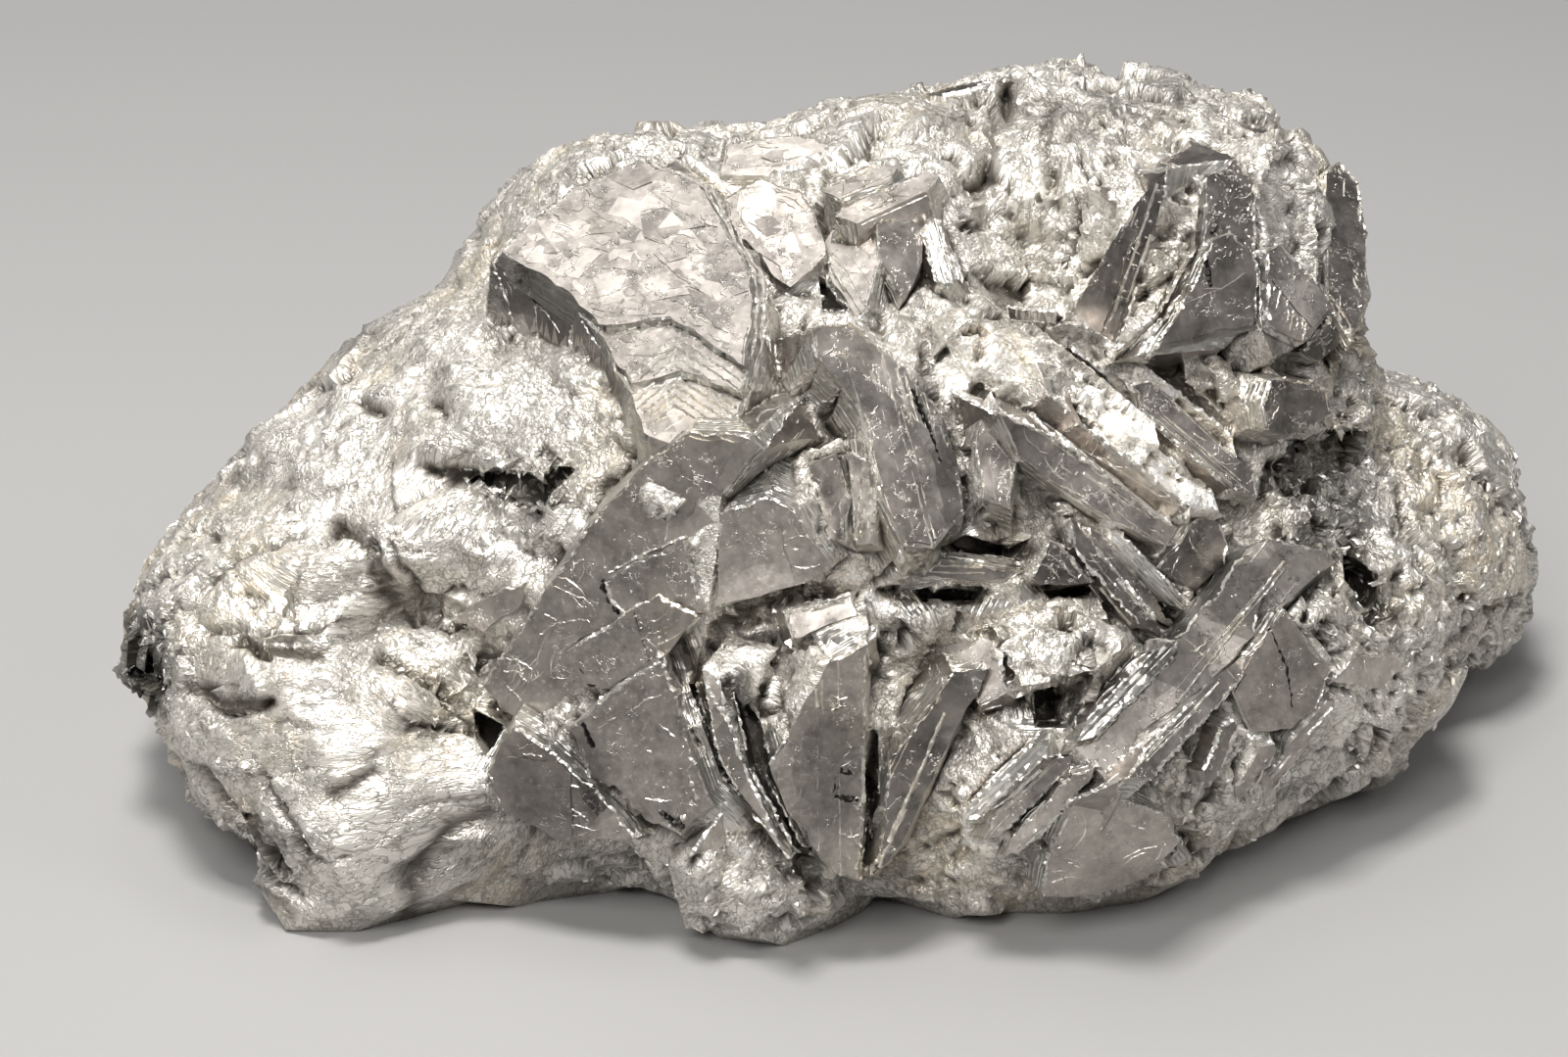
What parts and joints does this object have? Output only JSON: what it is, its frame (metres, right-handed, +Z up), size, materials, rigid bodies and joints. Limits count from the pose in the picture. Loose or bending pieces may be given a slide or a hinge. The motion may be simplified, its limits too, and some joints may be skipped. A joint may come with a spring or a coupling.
{
  "type": "pyrite cluster",
  "caption": "Hand specimen of silvery pyrite: a fused granular mass with flat dark crystal plates and blades on its show side",
  "frame": {"origin": "middle of the specimen's box, on the surface that it lies on", "axes": "+X along the specimen, to the right of its show side; +Y towards its back; +Z up"},
  "size_m": [0.0937, 0.0604, 0.0428],
  "materials": {
    "pyrite": "granular silvery pyrite with smooth darker crystal faces"
  },
  "bodies": {
    "root": {"pyrite_cluster": "pyrite"}
  },
  "joints": []
}
